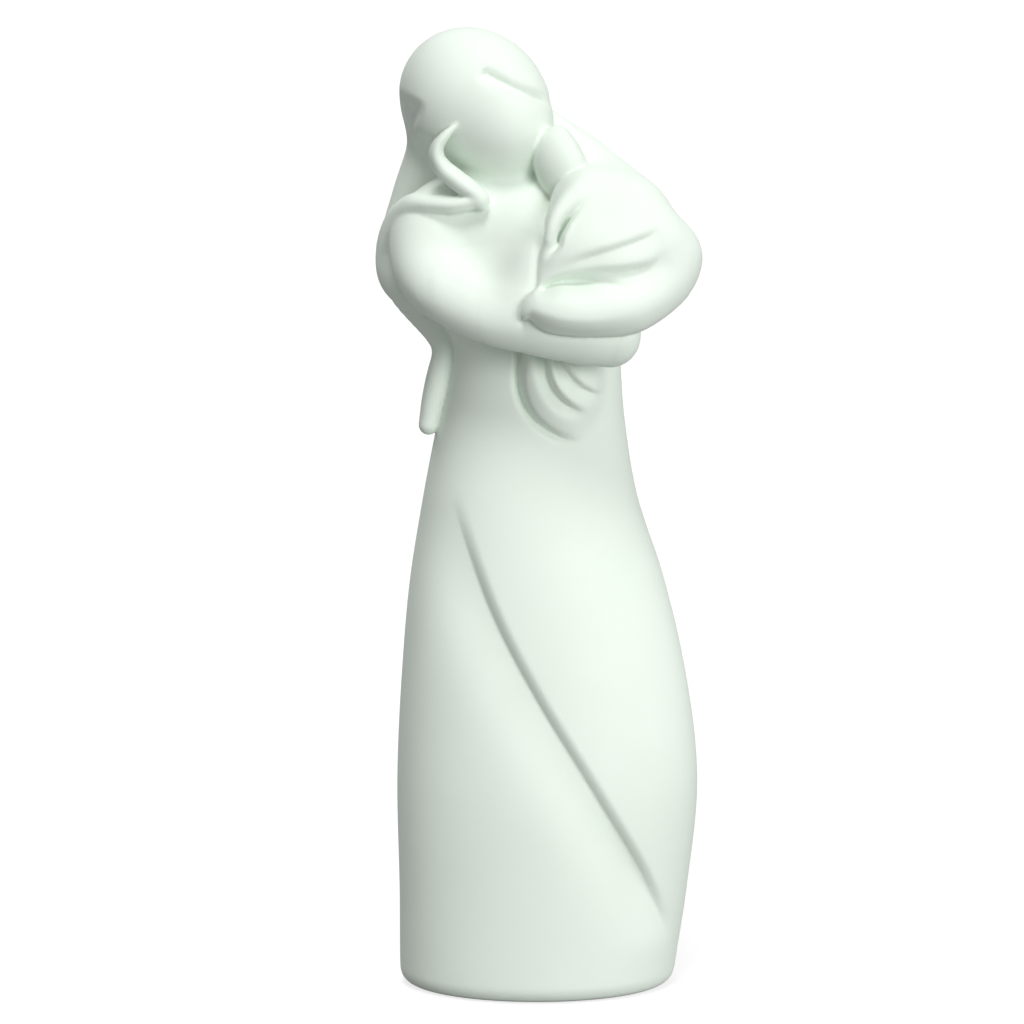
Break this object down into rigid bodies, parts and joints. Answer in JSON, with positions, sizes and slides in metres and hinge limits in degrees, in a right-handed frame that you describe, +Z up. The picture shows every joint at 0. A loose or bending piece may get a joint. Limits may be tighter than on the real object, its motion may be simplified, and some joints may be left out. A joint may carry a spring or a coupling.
{
  "type": "mother and child sculpture",
  "caption": "Tall smooth figure of a long-haired mother in a long dress, bowing her blank face to a wrapped baby held in both arms; stands on its flat underside as an ornament.",
  "frame": {"origin": "centre of the figure's outline seen from above, on the plane it stands on", "axes": "+Z up along the figure's height; the mother faces -Y; her left arm and the baby are toward +X"},
  "size_m": [0.1006, 0.0863, 0.3001],
  "materials": {
    "white_ceramic": "matt fired white, faintly green, with no glaze shine"
  },
  "bodies": {
    "root": {"mother_and_child": "white_ceramic"}
  },
  "joints": []
}
